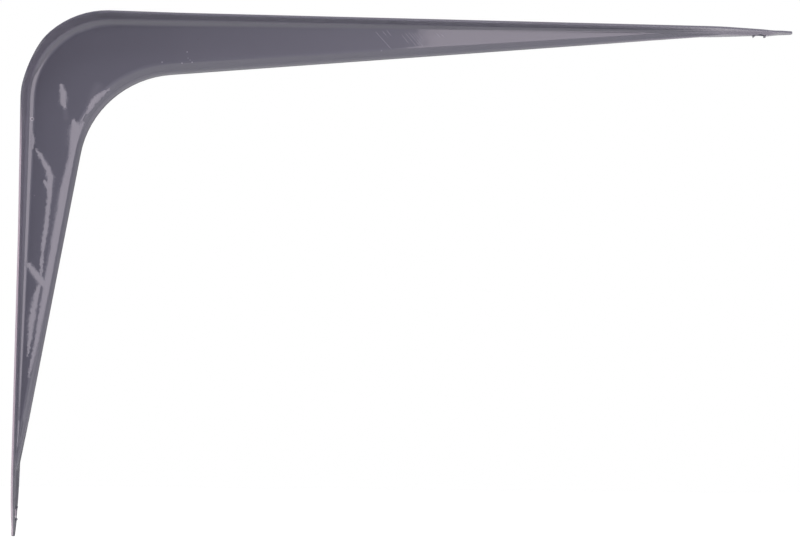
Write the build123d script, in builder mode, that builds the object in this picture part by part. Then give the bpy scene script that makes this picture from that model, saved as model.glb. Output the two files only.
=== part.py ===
"""Pressed steel shelf bracket: one sheet, folded into a hollow rib with a flange turned out on each side.

Frame: +X runs along the shelf arm, away from the wall, and +Z is up. The wall plane is x = 0, the underside
of the shelf is z = 0, and the bracket is symmetric about y = 0 apart from one screw hole in each arm.
"""

import os
from dataclasses import dataclass
from itertools import pairwise
from math import atan, cos, hypot, radians, sin, tan

from build123d import *

# Overall sizes, in millimetres
shelf_reach = 300.0  # wall plane to the tip of the shelf arm
wall_drop = 200.0  # shelf plane to the tip of the wall arm
sheet = 0.8
corner_radius = 32.5  # back of the flange, round the corner

# Outline of the flange, as half widths seen square to its back. Each arm tapers fast as far as its knee,
# then slowly as far as its nose, which narrows to a blunt tip
corner_half_width = 15.0
shelf_knee = 60.0
shelf_knee_half_width = 13.2
wall_knee = 86.0
wall_knee_half_width = 10.2
knee_radius = 150.0
shelf_nose_length = 30.0
shelf_nose_half_width = 6.9
shelf_tip_half_width = 1.2
shelf_tip_rounding = 1.1
wall_nose_length = 16.5
wall_nose_half_width = 6.2
wall_tip_half_width = 1.8
wall_tip_rounding = 1.7
nose_radius = 60.0

# Waist of the flange on the bend, where drawing the sheet round the corner pulls its edges in
waist_turn = 70.0  # degrees round the bend, from the shelf arm
waist_depth = 2.7
waist_half_length = 15.0

# Rib. Its folded edge follows two straight lines, rounded where they would cross
rib_depth_below_shelf = 23.85
rib_depth_from_wall = 25.7
rib_arc_radius = 37.8
shelf_run_out = 17.0  # the line would reach the flange this far from the shelf tip
wall_run_out = 18.8  # and this far from the wall tip

# Section of the rib round the corner
root_half_width = 4.5
root_ridge_radius = 4.3
root_bend_radius = 2.9

# Section of the rib where it has become too shallow for straight sides
slim_half_width = 2.7
slim_ridge_radius = 2.5
slim_bend_radius = 1.1
slim_side = 0.3  # the last of the straight side

# Shallow dish that carries the rib on, nearly to the tip
shelf_dish_rise = 0.9  # of its crest, out of the flange
wall_dish_rise = 0.3
shelf_dish_length = 17.5
wall_dish_length = 18.5
shelf_dish_inset = 9.5  # end of the full dish to the tip
wall_dish_inset = 6.0
dish_fade = 4.5  # from there to flat sheet
dish_slope = 20.0  # of its sides, in degrees
dish_radius = 2.5

# Screw holes: one through each dish, and one through the flange of each arm near the bend
hole_radius = 2.15
shelf_tip_hole_inset = 13.0  # hole centre to the tip
wall_tip_hole_inset = 8.6
tip_hole_offset = 0.6  # from the crest, towards the other hole
shelf_flange_hole = 55.0  # from the wall plane
wall_flange_hole = 47.0  # from the shelf plane
burr_wall = 0.5  # of the small burr that piercing raises on the front
burr_height = 0.45
crest_burr_span = 2.0  # a tip hole's burr stands only this wide, where the hole cuts the crest

# Construction allowances
joint_allowance = 3.0  # straight rib that the corner keeps beyond its arc
overcut = 5.0  # how far a blank or a trimming solid reaches past what it makes
blank_half_width = corner_half_width + overcut
fold_half_width = root_half_width + root_bend_radius + sheet  # strip in which the rib is folded


@dataclass
class Arm:
    """One arm, measured by u along it from the corner and by depth from its back face."""

    along: Vector
    inward: Vector
    length: float
    knee: float
    knee_half_width: float
    nose_length: float
    nose_half_width: float
    tip_half_width: float
    tip_rounding: float
    run_out: float
    crossing: Vector  # of the two arms' straight folded edges
    dish_rise: float
    dish_length: float
    dish_inset: float
    tip_hole_inset: float
    flange_hole: float

    def __post_init__(self):
        rib_end = self.length - self.run_out
        self.nose = self.length - self.nose_length
        self.rise = (self.crossing.dot(self.inward) - sheet) / (rib_end - self.crossing.dot(self.along))
        self.edge_direction = (self.along - self.inward * self.rise).normalized()
        self.edge_normal = (-self.inward - self.along * self.rise).normalized()  # towards the flange

    def point(self, u, depth, across=0):
        return self.along * u + self.inward * depth + Vector(0, across, 0)

    def rib_depth(self, u, inset=0):
        """Depth of the folded edge, or of a line inset from it."""
        return sheet + (self.length - self.run_out - u) * self.rise - inset / cos(atan(self.rise))

    def rib_reaches(self, depth):
        """Distance along the arm at which the folded edge has come down to a depth."""
        return self.length - self.run_out - (depth - sheet) / self.rise

    def flange_half_width(self, u):
        """Between the bend and the knee."""
        share = (u - corner_radius) / (self.knee - corner_radius)
        return corner_half_width + share * (self.knee_half_width - corner_half_width)

    def section_plane(self, u):
        """Plane square to the arm, with depth along its local -Y."""
        return Plane(self.point(u, 0), x_dir=self.along.cross(self.inward), z_dir=self.along)

    def face_plane(self, u=0, depth=0, across=0):
        """Plane parallel to the flange, facing the rib's side, with the arm along its local +X."""
        return Plane(self.point(u, depth, across), x_dir=self.along, z_dir=self.inward)


edge_crossing = Vector(rib_depth_from_wall, 0, -rib_depth_below_shelf)
shelf_arm = Arm(
    along=Vector(1, 0, 0),
    inward=Vector(0, 0, -1),
    length=shelf_reach,
    knee=shelf_knee,
    knee_half_width=shelf_knee_half_width,
    nose_length=shelf_nose_length,
    nose_half_width=shelf_nose_half_width,
    tip_half_width=shelf_tip_half_width,
    tip_rounding=shelf_tip_rounding,
    run_out=shelf_run_out,
    crossing=edge_crossing,
    dish_rise=shelf_dish_rise,
    dish_length=shelf_dish_length,
    dish_inset=shelf_dish_inset,
    tip_hole_inset=shelf_tip_hole_inset,
    flange_hole=shelf_flange_hole,
)
wall_arm = Arm(
    along=Vector(0, 0, -1),
    inward=Vector(1, 0, 0),
    length=wall_drop,
    knee=wall_knee,
    knee_half_width=wall_knee_half_width,
    nose_length=wall_nose_length,
    nose_half_width=wall_nose_half_width,
    tip_half_width=wall_tip_half_width,
    tip_rounding=wall_tip_rounding,
    run_out=wall_run_out,
    crossing=edge_crossing,
    dish_rise=wall_dish_rise,
    dish_length=wall_dish_length,
    dish_inset=wall_dish_inset,
    tip_hole_inset=wall_tip_hole_inset,
    flange_hole=wall_flange_hole,
)

rib_turn = radians(shelf_arm.edge_direction.get_angle(-wall_arm.edge_direction))
rib_tangent = rib_arc_radius * tan(rib_turn / 2)
for arm in (shelf_arm, wall_arm):
    arm.joint = arm.along.dot(edge_crossing + arm.edge_direction * rib_tangent) + joint_allowance


def side_view(point):
    """Local coordinates, in Plane.XZ, of a point of the bracket."""
    return (point.X, point.Z)


def inset_crossing(inset):
    """Where the two straight folded edges would cross, once moved by inset towards the flange."""
    one, other = shelf_arm.edge_normal, wall_arm.edge_normal
    return edge_crossing + (one + other) * (inset / (1 + one.dot(other)))


def flange_depth(point):
    """How far in front of the flange's back face a point lies."""
    x, drop = point.X, -point.Z
    if max(x, drop) < corner_radius:
        return corner_radius - hypot(corner_radius - x, corner_radius - drop)
    return min(x, drop)


def corner_rib(inset, back_depth, half_width, ridge_radius):
    """Solid block inside the rib round the corner, inset from its folded edge, which it rounds."""
    arc_radius = rib_arc_radius + inset
    arc_centre = inset_crossing(-rib_arc_radius)
    with BuildPart() as rib:
        with BuildSketch(Plane.XZ) as profile:
            with BuildLine():
                Polyline(
                    side_view(shelf_arm.point(shelf_arm.joint, back_depth)),
                    (back_depth, -back_depth),
                    side_view(wall_arm.point(wall_arm.joint, back_depth)),
                    side_view(wall_arm.point(wall_arm.joint, wall_arm.rib_depth(wall_arm.joint, inset))),
                    side_view(inset_crossing(inset)),
                    side_view(shelf_arm.point(shelf_arm.joint, shelf_arm.rib_depth(shelf_arm.joint, inset))),
                    close=True,
                )
            make_face()
            front_corner = profile.vertices().sort_by_distance(side_view(inset_crossing(inset)))[0]
            fillet(front_corner, arc_radius)
            back_corner = profile.vertices().sort_by_distance((back_depth, -back_depth))[0]
            fillet(back_corner, corner_radius - back_depth)
        extrude(amount=half_width, both=True)
        reach = hypot(arc_radius, joint_allowance)
        sides = rib.faces().filter_by(Axis.Y).edges()
        fillet(sides.filter_by(lambda edge: (edge @ 0.5 - arc_centre).cross(Vector(0, 1, 0)).length < reach),
               ridge_radius)
    return rib.part


def along_fold(depth, across):
    """Filter for the edges of the flange at a depth, at a distance either side of the middle plane."""
    slack = sheet / 10
    return lambda edge: (
        abs(flange_depth(edge @ 0.5) - depth) < slack and abs(abs((edge @ 0.5).Y) - across) < slack
    )


def bent_sheet(shelf_end, wall_end, half_width):
    """Plain sheet bent round the corner, as far along each arm as its end."""
    with BuildPart() as bent:
        with BuildSketch(Plane.XZ):
            with BuildLine():
                for depth in (0, sheet):
                    FilletPolyline(
                        side_view(shelf_arm.point(shelf_end, depth)),
                        (depth, -depth),
                        side_view(wall_arm.point(wall_end, depth)),
                        radius=corner_radius - depth,
                    )
                for arm, end in ((shelf_arm, shelf_end), (wall_arm, wall_end)):
                    Line(side_view(arm.point(end, 0)), side_view(arm.point(end, sheet)))
            make_face()
        extrude(amount=half_width, both=True)
    return bent.part


with BuildPart() as corner:
    add(bent_sheet(shelf_arm.joint, wall_arm.joint, fold_half_width))
    add(corner_rib(0, sheet / 2, root_half_width, root_ridge_radius))
    fillet(corner.edges().filter_by(along_fold(sheet, root_half_width)), root_bend_radius)
    add(corner_rib(sheet, -overcut, root_half_width - sheet, root_ridge_radius - sheet), mode=Mode.SUBTRACT)
    fillet(corner.edges().filter_by(along_fold(0, root_half_width - sheet)), root_bend_radius + sheet)
shelf_joint_face = corner.faces().sort_by(Axis.X)[-1]
wall_joint_face = corner.faces().sort_by(Axis.Z)[0]


def hat_section(arm, u, skins):
    """Sheet cut square to the arm. Each skin gives half its corners, from the edge inwards, and their radii."""
    with BuildSketch(arm.section_plane(u)) as section:
        with BuildLine():
            for half, radii in skins:
                other_half = [(-across, level) for across, level in reversed(half)]
                FilletPolyline(*half, *other_half, radius=[*radii, *reversed(radii)])
            for edge in (-fold_half_width, fold_half_width):
                Line((edge, 0), (edge, -sheet))
        make_face()
    return section.sketch.face()


def slim_section(arm):
    """Where the rib is about to lose its straight sides."""
    depth = sheet + slim_bend_radius + slim_side + slim_ridge_radius
    skins = []
    for skin in (0, sheet):  # front of the sheet, then its back
        side = slim_half_width - skin
        half = [(fold_half_width, skin - sheet), (side, skin - sheet), (side, skin - depth)]
        skins.append((half, [slim_bend_radius + skin, slim_ridge_radius - skin]))
    return hat_section(arm, arm.rib_reaches(depth), skins)


dish_bend = dish_radius * tan(radians(dish_slope) / 2)  # from a corner of its section to where the bend ends
dish_foot = slim_half_width + slim_bend_radius - dish_bend


def dish_section(arm, u):
    """Through the dish."""
    crest = dish_foot - arm.dish_rise / tan(radians(dish_slope))
    skins = []
    for level in (-sheet, 0):
        half = [(fold_half_width, level), (dish_foot, level), (crest, level - arm.dish_rise)]
        skins.append((half, [dish_radius, dish_radius]))
    return hat_section(arm, u, skins)


def flat_section(arm, u):
    """Flat sheet, with a corner beside each corner of the dish's section."""
    crest = dish_foot - arm.dish_rise / tan(radians(dish_slope))
    lean = dish_bend * cos(radians(dish_slope))
    half = [fold_half_width, dish_foot + dish_bend, dish_foot - lean, crest + lean, crest - dish_bend]
    row = half + [-across for across in reversed(half)]
    corners = [(across, -sheet) for across in row] + [(across, 0) for across in reversed(row)]
    plane = arm.section_plane(u)
    return Face(Wire.make_polygon([plane.from_local_coords((*corner, 0)) for corner in corners]))


def arm_blank(arm, joint_face):
    """Folded strip of the arm beyond its joint with the corner."""
    dish_end = arm.length - arm.dish_inset
    flat_start = dish_end + dish_fade
    sections = [
        joint_face,
        slim_section(arm),
        dish_section(arm, dish_end - arm.dish_length),
        dish_section(arm, dish_end),
        flat_section(arm, flat_start),
    ]
    with BuildPart() as blank:
        for near, far in pairwise(sections):
            loft([near, far], ruled=True)
        with BuildSketch(arm.section_plane(flat_start)):
            Rectangle(2 * fold_half_width, sheet, align=(Align.CENTER, Align.MAX))
        extrude(amount=arm.length - flat_start + overcut)
    return blank.part


def outline_block(arm, front_depth):
    """Solid that holds all of one arm inside the outline of its flange, from the corner's bend to the tip."""
    half = [
        (corner_radius, corner_half_width),
        (arm.knee, arm.knee_half_width),
        (arm.nose, arm.nose_half_width),
        (arm.length, arm.tip_half_width),
    ]
    radii = [knee_radius, nose_radius, arm.tip_rounding]
    with BuildPart() as block:
        with BuildSketch(arm.face_plane(depth=-overcut)):
            with BuildLine():
                other_half = [(u, -across) for u, across in reversed(half)]
                FilletPolyline(*half, *other_half, radius=[*radii, *reversed(radii)])
                Line(half[0], other_half[-1])
            make_face()
        extrude(amount=overcut + front_depth)
    return block.part


def waist_plane():
    """Plane that touches the bend at its waist, with its local +X towards the shelf arm."""
    turn = radians(waist_turn)
    outward = Vector(-sin(turn), 0, cos(turn))
    centre = Vector(corner_radius, 0, -corner_radius)
    return Plane(centre + outward * corner_radius, x_dir=Vector(cos(turn), 0, sin(turn)), z_dir=outward)


with BuildPart() as trimming:
    add(outline_block(shelf_arm, wall_arm.joint))
    add(outline_block(wall_arm, corner_radius))
    with BuildSketch(Plane.XZ):
        with Locations((-overcut, overcut)):
            Rectangle(corner_radius + overcut, corner_radius + overcut, align=(Align.MIN, Align.MAX))
    extrude(amount=corner_half_width, both=True)
    with BuildSketch(waist_plane()):
        with BuildLine():
            shoulder = TangentArc(
                (-waist_half_length, corner_half_width),
                (-waist_half_length / 2, corner_half_width - waist_depth / 2),
                tangent=(1, 0),
            )
            TangentArc(shoulder @ 1, (0, corner_half_width - waist_depth), tangent=shoulder % 1)
            mirror(about=Plane.YZ)
            Polyline(
                (-waist_half_length, corner_half_width),
                (-waist_half_length, blank_half_width),
                (waist_half_length, blank_half_width),
                (waist_half_length, corner_half_width),
            )
        make_face()
        mirror(about=Plane.XZ)
    extrude(amount=overcut, both=True, mode=Mode.SUBTRACT)


def holes(arm):
    """Each hole's distance along its arm and across it, depth of the surface in front, and burr's width."""
    burr_size = 2 * (hole_radius + burr_wall)
    flange_middle = (root_half_width + root_bend_radius + arm.flange_half_width(arm.flange_hole)) / 2
    return (
        (arm.length - arm.tip_hole_inset, tip_hole_offset, sheet + arm.dish_rise, crest_burr_span),
        (arm.flange_hole, flange_middle, sheet, burr_size),
    )


with BuildPart() as bracket:
    add(bent_sheet(shelf_arm.length + overcut, wall_arm.length + overcut, blank_half_width))
    with Locations((shelf_arm.length / 2, 0, -wall_arm.length / 2)):
        Box(2 * shelf_arm.length, 2 * fold_half_width, 2 * wall_arm.length, mode=Mode.SUBTRACT)
    add(corner.part)
    add(arm_blank(shelf_arm, shelf_joint_face))
    add(arm_blank(wall_arm, wall_joint_face))
    add(trimming.part, mode=Mode.INTERSECT)
    for arm in (shelf_arm, wall_arm):
        for u, across, front, burr_span in holes(arm):
            with BuildSketch(arm.face_plane(u, front - sheet / 2, across)):
                Circle(hole_radius + burr_wall)
                Rectangle(2 * (hole_radius + burr_wall), burr_span, mode=Mode.INTERSECT)
            extrude(amount=sheet / 2 + burr_height)
            with BuildSketch(arm.face_plane(u, 0, across)):
                Circle(hole_radius)
            extrude(amount=front + burr_height, mode=Mode.SUBTRACT)

bracket.part.label = "bracket"
os.makedirs("parts", exist_ok=True)
export_step(bracket.part, "parts/bracket.step")
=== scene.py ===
"""Studio scene for the pressed shelf bracket: its worn gloss paint, a pale floor, soft light and the camera.

Everything is in metres. The paint's marks are placed by (x, z) from the outer corner of the bend.
"""

from math import radians, tan

import bpy
from mathutils import Euler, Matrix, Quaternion, Vector


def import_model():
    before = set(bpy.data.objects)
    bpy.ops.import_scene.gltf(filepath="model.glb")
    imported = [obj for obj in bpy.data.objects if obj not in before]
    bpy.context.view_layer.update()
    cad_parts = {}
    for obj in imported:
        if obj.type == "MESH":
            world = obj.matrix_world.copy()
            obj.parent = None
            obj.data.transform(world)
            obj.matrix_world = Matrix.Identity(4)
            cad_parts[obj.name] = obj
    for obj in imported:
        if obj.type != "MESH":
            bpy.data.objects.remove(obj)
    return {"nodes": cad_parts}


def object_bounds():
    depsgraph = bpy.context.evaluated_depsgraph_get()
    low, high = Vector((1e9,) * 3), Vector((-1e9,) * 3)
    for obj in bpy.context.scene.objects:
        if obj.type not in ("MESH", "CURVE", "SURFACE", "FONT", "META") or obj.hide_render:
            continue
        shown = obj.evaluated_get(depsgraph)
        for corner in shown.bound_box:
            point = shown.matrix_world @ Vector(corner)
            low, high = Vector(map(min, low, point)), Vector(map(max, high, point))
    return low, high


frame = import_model()
cad_low, cad_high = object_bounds()
bracket = frame["nodes"]["bracket"]
corner = Vector((cad_low.x, 0, cad_high.z))

# The front faces take paint_colour. The faces turned away from the front, the flanges above all, take a
# lighter copy of the same grey: painted light, for the light they catch from below.
paint_colour = (0.071, 0.070, 0.090, 1)
flange_painted_light_colour = (0.105, 0.101, 0.127, 1)
scratch_colour = (0.17, 0.17, 0.20, 1)
# A pale grey for the dust specks, also used for the streaks of painted highlight on the web.
dust_and_sheen_colour = (0.22, 0.21, 0.24, 1)
pit_colour = (0.02, 0.02, 0.03, 1)
# A pale pink for the wall arm's cut edge below the bend: partly paint worn thin there, partly a painted
# highlight of the edge's rounding.
worn_edge_and_highlight_colour = (0.34, 0.29, 0.33, 1)

# Roughness of the gloss, and how much more the duller places have
gloss_roughness = 0.07
mark_dullness = 0.5
flange_dullness = 0.25
rim_dullness = 0.25

# The orange peel of sprayed paint
peel_scale = 260.0
peel_strength = 0.06
peel_height = 0.0002

# How far a face turns to the front where the painted marks and the creases start, and where they are full
marks_facing = (0.5, 0.8)
creases_facing = (0.7, 0.9)

cut_edge_width = 0.0007
rib_half_width = 0.0038
flange_start = 0.0052
# How far below the shelf arm the pale pink cut edge (partly worn paint, partly painted highlight) starts, and
# where it is full
worn_edge_and_highlight_start = 0.03
worn_edge_and_highlight_full = 2 * worn_edge_and_highlight_start

# Soft creases of the web, each a list of (x, z, half width)
ridge_flare = [(0.0030, -0.0450, 0.0002), (0.0033, -0.0477, 0.0005), (0.0034, -0.0500, 0.0007),
               (0.0032, -0.0525, 0.0003)]
upper_crease = [(0.0045, -0.0525, 0.0003), (0.0063, -0.0547, 0.0008), (0.0080, -0.0576, 0.0009),
                (0.0096, -0.0605, 0.0010), (0.0105, -0.0635, 0.0013), (0.0103, -0.0663, 0.0012),
                (0.0104, -0.0700, 0.0010), (0.0101, -0.0745, 0.0008)]
crease_spur = [(0.0084, -0.0652, 0.0006), (0.0099, -0.0674, 0.0011)]
middle_crease = [(0.0101, -0.0745, 0.0008), (0.0094, -0.0830, 0.0009), (0.0089, -0.0868, 0.0009),
                 (0.0085, -0.0916, 0.0007), (0.0082, -0.0955, 0.0006), (0.0082, -0.1015, 0.0005)]
crossing = [(0.0032, -0.0972, 0.0010), (0.0060, -0.1007, 0.0012), (0.0085, -0.1038, 0.0015),
            (0.0107, -0.1052, 0.0014)]
lower_crease = [(0.0074, -0.1055, 0.0008), (0.0062, -0.1108, 0.0012), (0.0051, -0.1185, 0.0013),
                (0.0046, -0.1262, 0.0008), (0.0040, -0.1320, 0.0003)]
wall_roll = [(0.0184, -0.0560, 0.0009), (0.0174, -0.0604, 0.0012), (0.0159, -0.0683, 0.0017),
             (0.0146, -0.0780, 0.0017), (0.0130, -0.0878, 0.0015), (0.0118, -0.0962, 0.0014),
             (0.0108, -0.1032, 0.0015), (0.0095, -0.1110, 0.0012), (0.0083, -0.1185, 0.0010),
             (0.0072, -0.1262, 0.0008), (0.0058, -0.1337, 0.0006), (0.0046, -0.1400, 0.0003)]
corner_dent = [(0.0136, -0.0276, 0.0008), (0.0144, -0.0305, 0.0013), (0.0145, -0.0340, 0.0013),
               (0.0152, -0.0358, 0.0006)]
waist_dent = [(0.0187, -0.0412, 0.0008), (0.0199, -0.0450, 0.0026), (0.0198, -0.0490, 0.0025),
              (0.0191, -0.0525, 0.0014), (0.0184, -0.0560, 0.0009)]
waist_dent_horn = [(0.0223, -0.0418, 0.0006), (0.0212, -0.0460, 0.0016)]
bend_dent = [(0.0322, -0.0284, 0.0003), (0.0284, -0.0310, 0.0010), (0.0261, -0.0336, 0.0011),
             (0.0238, -0.0378, 0.0005)]
creases = [ridge_flare, upper_crease, crease_spur, middle_crease, crossing, lower_crease, wall_roll,
           corner_dent, waist_dent, waist_dent_horn, bend_dent]
crease_tilt = radians(20)
crease_wave_size = 0.0012
crease_wave_reach = 0.0009
crease_grain_scale = 1800.0
crease_grain = 0.6

# Nearness to a crease (1 on its line, 0 at its edge) at which it and its dull rim start and are full
crease_edge = (-0.45, 0.55)
rim_outside = (-1.3, 0.0)
rim_inside = (0.0, 0.7)

# Faint pale streaks of painted highlight on the web, beside the bright facet and the dents' highlights, in
# the same form
painted_sheen_streaks = [[(0.1515, -0.0040, 0.0012), (0.1525, -0.0090, 0.0014)],
          [(0.0245, -0.0350, 0.0020), (0.0275, -0.0275, 0.0030)],
          [(0.0152, -0.0362, 0.0014), (0.0158, -0.0400, 0.0018)]]
painted_sheen_share = 0.11

# Scratches of the shelf arm's web, each from one end to the other, frayed and in patches
fine_scratch = 0.00011
scratch_fray_size = 0.0008
scratch_fray_reach = 0.0001
scratch_patch_scale = 900.0
scratch_patch_edge = (0.35, 0.5)
scratches = [((0.1350, -0.0038), (0.1409, -0.0103)), ((0.1378, -0.0036), (0.1397, -0.0059)),
             ((0.1393, -0.0031), (0.1409, -0.0051)), ((0.1452, -0.0046), (0.1476, -0.0078)),
             ((0.1467, -0.0042), (0.1507, -0.0089)), ((0.1479, -0.0038), (0.1519, -0.0085)),
             ((0.1491, -0.0038), (0.1522, -0.0077)), ((0.1503, -0.0040), (0.1532, -0.0076)),
             ((0.1508, -0.0058), (0.1534, -0.0091)), ((0.1519, -0.0044), (0.1538, -0.0068)),
             ((0.1586, -0.0038), (0.1600, -0.0052)), ((0.1600, -0.0036), (0.1616, -0.0051))]

# Specks of dust in the paint, each (x, z, radius)
pale_specks = [(0.0521, -0.0174, 0.0003), (0.0598, -0.0176, 0.0003), (0.0617, -0.0132, 0.0003),
               (0.0629, -0.0164, 0.0002), (0.0621, -0.0156, 0.0002), (0.0637, -0.0172, 0.0003),
               (0.1373, -0.0112, 0.0002), (0.0046, -0.0705, 0.0002), (0.0028, -0.0407, 0.0010)]
dark_specks = [(0.0658, -0.0080, 0.0003), (0.0028, -0.0407, 0.0005)]

# Nearness to a scratch or a speck at which its colour starts and is full
mark_edge = (0.0, 0.6)

floor_size = 40
floor_drop = 0.05
floor_colour = (0.8, 0.8, 0.8, 1)
floor_roughness = 0.9
floor_glow = 0.12
mirrored_floor_glow = 0.53
seen_floor_glow = 0.6
sky_fill = 0.31
white = (1, 1, 1, 1)
upright = radians(90)
lying = 0

camera_lens = 77.264
camera_place = corner + Vector((0.125259, -0.658680, -0.179254))
camera_pitch = 0.123032
camera_yaw = 0.030527
camera_roll = 0.008879


def shader(material, kind, **inputs):
    """A new node of the material, with its inputs set to values or linked from sockets."""
    node = material.node_tree.nodes.new(kind)
    for name, value in inputs.items():
        put(material, value, node.inputs[name.replace("_", " ")])
    return node


def put(material, value, socket):
    """Link the value to the socket where it is a socket itself, else set it there."""
    if isinstance(value, bpy.types.NodeSocket):
        material.node_tree.links.new(value, socket)
    else:
        socket.default_value = value


def maths(material, operation, *values):
    """The result of a sum on single values."""
    node = material.node_tree.nodes.new("ShaderNodeMath")
    node.operation = operation
    for socket, value in zip(node.inputs, values):
        put(material, value, socket)
    return node.outputs["Value"]


def vectors(material, operation, *values):
    """The result of a sum on vectors: a vector, or a single value for a length or a product."""
    node = material.node_tree.nodes.new("ShaderNodeVectorMath")
    node.operation = operation
    for socket, value in zip(node.inputs, values):
        put(material, value, socket)
    single = operation in ("DOT_PRODUCT", "DISTANCE", "LENGTH")
    return node.outputs["Value" if single else "Vector"]


def scaled(material, vector, factor):
    """The vector made longer by the factor, which may be a socket."""
    node = material.node_tree.nodes.new("ShaderNodeVectorMath")
    node.operation = "SCALE"
    put(material, vector, node.inputs[0])
    put(material, factor, node.inputs["Scale"])
    return node.outputs["Vector"]


def step(material, value, low, high):
    """0 below low and 1 above high, with a smooth way between."""
    node = shader(material, "ShaderNodeMapRange", Value=value, From_Min=low, From_Max=high)
    node.interpolation_type = "SMOOTHSTEP"
    return node.outputs["Result"]


def blend(material, factor, first, second):
    """A colour between two. Sockets 6, 7 and 2 of the node are the ones for colours."""
    node = shader(material, "ShaderNodeMix", Factor=factor)
    node.data_type = "RGBA"
    put(material, first, node.inputs[6])
    put(material, second, node.inputs[7])
    return node.outputs[2]


def product(material, first, second):
    """One value times another."""
    return maths(material, "MULTIPLY", first, second)


def noise(material, place, scale, detail=2.0):
    """A smooth noise round 0.5, with so many bumps to the metre."""
    return shader(material, "ShaderNodeTexNoise", Vector=place, Scale=scale, Detail=detail).outputs["Fac"]


def highest(material, values):
    """The largest of several values."""
    most = values[0]
    for value in values[1:]:
        most = maths(material, "MAXIMUM", most, value)
    return most


def stretch(material, place, start, end):
    """1 on the line from start to end, each (x, z, half width), falling to 0 at the half width."""
    first = corner + Vector((start[0], 0, start[1]))
    along = Vector((end[0] - start[0], 0, end[1] - start[1]))
    offset = vectors(material, "SUBTRACT", place, first)
    share = vectors(material, "DOT_PRODUCT", offset, along / along.length_squared)
    share = shader(material, "ShaderNodeClamp", Value=share).outputs["Result"]
    gap = vectors(material, "DISTANCE", offset, scaled(material, along, share))
    widening = product(material, share, end[2] - start[2])
    half_width = maths(material, "ADD", widening, start[2])
    return maths(material, "SUBTRACT", 1.0, maths(material, "DIVIDE", gap, half_width))


def line_mask(material, place, points):
    """How near the place is to the line through the points: 1 on it, 0 at its edge."""
    return highest(material, [stretch(material, place, a, b) for a, b in zip(points, points[1:])])


def spot_mask(material, place, spots):
    """1 at the middle of each spot, each (x, z, radius), and 0 at its rim."""
    masks = []
    for x, z, radius in spots:
        gap = vectors(material, "DISTANCE", place, corner + Vector((x, 0, z)))
        masks.append(maths(material, "SUBTRACT", 1.0, maths(material, "DIVIDE", gap, radius)))
    return highest(material, masks)


def ragged(material, place, size, reach):
    """The place pushed about by a noise of the size, as far as the reach."""
    wander = shader(material, "ShaderNodeTexNoise", Vector=place, Scale=1 / size, Detail=2.0)
    push = vectors(material, "SUBTRACT", wander.outputs["Color"], (0.5, 0.5, 0.5))
    return vectors(material, "ADD", place, scaled(material, push, 2 * reach))


def nearness(material, place, lines):
    """How near the place is to the nearest of the lines: 1 on it, 0 at its edge."""
    return highest(material, [line_mask(material, place, points) for points in lines])


def crease_normal(material, flat, normal, nearest, on_web):
    """The surface's normal, turned to one side by the creases, whose edges are a little grainy."""
    grain = maths(material, "SUBTRACT", noise(material, flat, crease_grain_scale, 1.0), 0.5)
    grainy = maths(material, "ADD", nearest, product(material, grain, crease_grain))
    creased = product(material, step(material, grainy, *crease_edge), on_web)
    tilted = Vector((tan(crease_tilt), -1, 0)).normalized()
    turn = scaled(material, vectors(material, "SUBTRACT", tilted, normal), creased)
    return vectors(material, "NORMALIZE", vectors(material, "ADD", normal, turn))


def peeled(material, place, normal, on_front):
    """The normal with the orange peel of the paint, which the front faces have."""
    bump = shader(material, "ShaderNodeBump", Height=noise(material, place, peel_scale), Normal=normal,
                  Strength=product(material, on_front, peel_strength), Distance=peel_height)
    return bump.outputs["Normal"]


def crease_rim(material, nearest, on_web):
    """1 round the edge of each crease, where the gloss is softer."""
    outside = step(material, nearest, *rim_outside)
    inside = step(material, nearest, *rim_inside)
    return product(material, maths(material, "SUBTRACT", outside, inside), on_web)


def scratch_mask(material, flat):
    """1 on the scratches, which fray a little and miss some patches."""
    frayed = ragged(material, flat, scratch_fray_size, scratch_fray_reach)
    lines = [[(*start, fine_scratch), (*end, fine_scratch)] for start, end in scratches]
    patches = step(material, noise(material, flat, scratch_patch_scale), *scratch_patch_edge)
    return product(material, step(material, nearness(material, frayed, lines), *mark_edge), patches)


def speck_mask(material, flat, specks):
    """1 on the specks."""
    return step(material, spot_mask(material, flat, specks), *mark_edge)


def cut_edge(material, depth, on_front):
    """1 on the cut front edge of a flange, which is as deep as the sheet is thick."""
    return product(material, maths(material, "LESS_THAN", depth, cut_edge_width), on_front)


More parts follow.
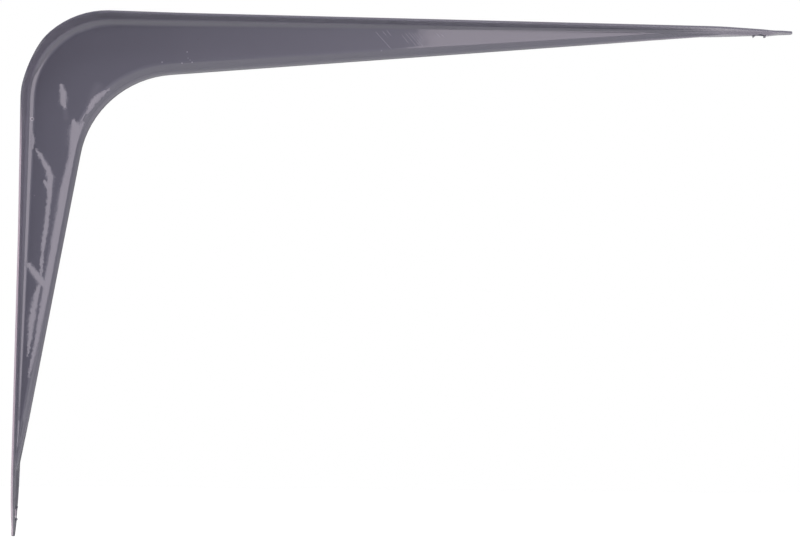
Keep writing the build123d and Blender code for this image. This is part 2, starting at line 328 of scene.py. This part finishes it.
def paint():
    """Gloss grey paint over the pressed sheet, with creases, scratches and specks on the web's front, a
    lighter grey on the faces turned away from the front that is painted light, streaks of painted highlight
    on the web, and a pale pink wall arm cut edge that is partly worn paint and partly painted highlight.
    """
    material = new_material("grey_paint")
    place = shader(material, "ShaderNodeTexCoord").outputs["Object"]
    flat = vectors(material, "MULTIPLY", place, (1, 0, 1))
    axes = shader(material, "ShaderNodeSeparateXYZ", Vector=place)
    normal = shader(material, "ShaderNodeNewGeometry").outputs["Normal"]
    towards_front = vectors(material, "DOT_PRODUCT", normal, (0, -1, 0))
    on_front = step(material, towards_front, *marks_facing)
    on_web = step(material, towards_front, *creases_facing)
    off_front = maths(material, "SUBTRACT", 1.0, on_front)
    beside_rib = step(material, maths(material, "ABSOLUTE", axes.outputs["Y"]), rib_half_width, flange_start)

    scratched = product(material, scratch_mask(material, flat), on_front)
    dusty = product(material, speck_mask(material, flat, pale_specks), on_front)
    pitted = product(material, speck_mask(material, flat, dark_specks), on_front)
    painted_sheen = product(material, step(material, nearness(material, flat, painted_sheen_streaks), 0.0, 1.0), on_web)
    from_wall = maths(material, "SUBTRACT", axes.outputs["X"], corner.x)
    below_shelf = maths(material, "SUBTRACT", corner.z, axes.outputs["Z"])
    shelf_edge = cut_edge(material, below_shelf, on_front)
    wall_edge = cut_edge(material, from_wall, on_front)
    past_bend = step(material, below_shelf, worn_edge_and_highlight_start, worn_edge_and_highlight_full)

    # Painted light: the faces turned away from the front get the lighter flange grey.
    colour = blend(material, product(material, off_front, beside_rib), paint_colour, flange_painted_light_colour)
    # Painted highlight: faint pale streaks of sheen on the web.
    colour = blend(material, product(material, painted_sheen, painted_sheen_share), colour, dust_and_sheen_colour)
    colour = blend(material, scratched, colour, scratch_colour)
    colour = blend(material, dusty, colour, dust_and_sheen_colour)
    colour = blend(material, pitted, colour, pit_colour)
    # The wall arm's cut edge below the bend turns pale pink: partly worn paint, partly painted highlight.
    colour = blend(material, product(material, wall_edge, past_bend), colour, worn_edge_and_highlight_colour)

    waved = ragged(material, flat, crease_wave_size, crease_wave_reach)
    nearest = nearness(material, waved, creases)
    bent = crease_normal(material, flat, normal, nearest, on_web)
    marked = product(material, highest(material, [scratched, pitted, shelf_edge]), mark_dullness)
    rim = product(material, crease_rim(material, nearest, on_web), rim_dullness)
    flange = product(material, off_front, flange_dullness)
    dull = maths(material, "ADD", maths(material, "ADD", marked, rim), flange)
    surface = shader(material, "ShaderNodeBsdfPrincipled", Base_Color=colour,
                     Roughness=maths(material, "ADD", dull, gloss_roughness),
                     Normal=peeled(material, place, bent, on_front))
    shader(material, "ShaderNodeOutputMaterial", Surface=surface.outputs["BSDF"])
    return material


def new_material(name):
    """A material with no nodes yet."""
    material = bpy.data.materials.new(name)
    material.use_nodes = True
    material.node_tree.nodes.clear()
    return material


def floor():
    """A wide sheet of pale paper below the bracket, which glows a little so that it stays even."""
    bpy.ops.mesh.primitive_plane_add(size=floor_size, location=(corner.x, 0, cad_low.z - floor_drop))
    plane = bpy.context.object
    plane.name = "floor"
    material = new_material("floor_paper")
    path = shader(material, "ShaderNodeLightPath")
    seen = product(material, path.outputs["Is Camera Ray"], seen_floor_glow)
    mirrored = product(material, path.outputs["Is Glossy Ray"], mirrored_floor_glow)
    glow = maths(material, "ADD", maths(material, "ADD", seen, mirrored), floor_glow)
    surface = shader(material, "ShaderNodeBsdfPrincipled", Base_Color=floor_colour, Roughness=floor_roughness,
                     Emission_Color=white, Emission_Strength=glow)
    shader(material, "ShaderNodeOutputMaterial", Surface=surface.outputs["BSDF"])
    plane.data.materials.append(material)


def world():
    """A sky that is white where it is seen or mirrored, and dimmer as a light."""
    sky = bpy.data.worlds.new("studio")
    sky.use_nodes = True
    sky.node_tree.nodes.clear()
    path = shader(sky, "ShaderNodeLightPath")
    seen = maths(sky, "MAXIMUM", path.outputs["Is Camera Ray"], path.outputs["Is Glossy Ray"])
    colour = blend(sky, seen, (sky_fill, sky_fill, sky_fill, 1), white)
    background = shader(sky, "ShaderNodeBackground", Color=colour)
    shader(sky, "ShaderNodeOutputWorld", Surface=background.outputs["Background"])
    bpy.context.scene.world = sky


def lamp(name, place, target, width, height, power, colour=(1, 1, 1)):
    """A soft rectangular lamp that faces the target, both places being from the corner."""
    light = bpy.data.lights.new(name, "AREA")
    light.shape = "RECTANGLE"
    light.size = width
    light.size_y = height
    light.energy = power
    light.color = colour
    holder = bpy.data.objects.new(name, light)
    bpy.context.scene.collection.objects.link(holder)
    holder.location = corner + Vector(place)
    holder.rotation_euler = (Vector(target) - Vector(place)).to_track_quat("-Z", "Y").to_euler()
    holder.visible_camera = False


def panel(name, centre, width, height, left, right, lean=upright, colour=white):
    """A board, seen only in gloss, whose light goes from one strength at its left to another at its right."""
    bpy.ops.mesh.primitive_plane_add(size=1, location=corner + Vector(centre), rotation=(lean, 0, 0))
    board = bpy.context.object
    board.name = name
    board.scale = (width, height, 1)
    material = new_material(name)
    place = shader(material, "ShaderNodeTexCoord").outputs["Generated"]
    across = shader(material, "ShaderNodeSeparateXYZ", Vector=place).outputs["X"]
    strength = shader(material, "ShaderNodeMapRange", Value=across, To_Min=left, To_Max=right)
    light = shader(material, "ShaderNodeEmission", Color=colour, Strength=strength.outputs["Result"])
    shader(material, "ShaderNodeOutputMaterial", Surface=light.outputs["Emission"])
    board.data.materials.append(material)
    board.visible_camera = False
    board.visible_diffuse = False
    board.visible_shadow = False


def camera():
    """A view from in front of the web, a little below the shelf arm."""
    data = bpy.data.cameras.new("camera")
    data.lens = camera_lens
    holder = bpy.data.objects.new("camera", data)
    bpy.context.scene.collection.objects.link(holder)
    holder.location = camera_place
    look = Euler((radians(90) + camera_pitch, 0, -camera_yaw)).to_quaternion()
    holder.rotation_mode = "QUATERNION"
    holder.rotation_quaternion = look @ Quaternion((0, 0, 1), camera_roll)
    bpy.context.scene.camera = holder


for slot in bracket.material_slots:
    slot.material = paint()
floor()
world()
lamp("overhead", place=(0.1, -0.3, 1.2), target=(0.1, 0, -0.1), width=1.2, height=1.2, power=25)
lamp("card", place=(0.77, -1.0, 0.17), target=(0.1, 0, -0.05), width=1.35, height=0.655, power=10.5,
     colour=(1, 0.9, 1.0))
panel("front_board", centre=(0.0, -0.75, 0.05), width=0.4, height=0.6, left=0.15, right=2.0,
      colour=(0.90, 0.87, 1, 1))
panel("back_board", centre=(0.16, 0.6, -0.03), width=0.38, height=0.44, left=0.1, right=0.2)
panel("low_board", centre=(0.375, 0.25, -0.22), width=0.12, height=0.35, left=2.5, right=2.5, lean=lying,
      colour=(1, 0.88, 1, 1))
camera()
bpy.context.scene.view_settings.view_transform = "Standard"
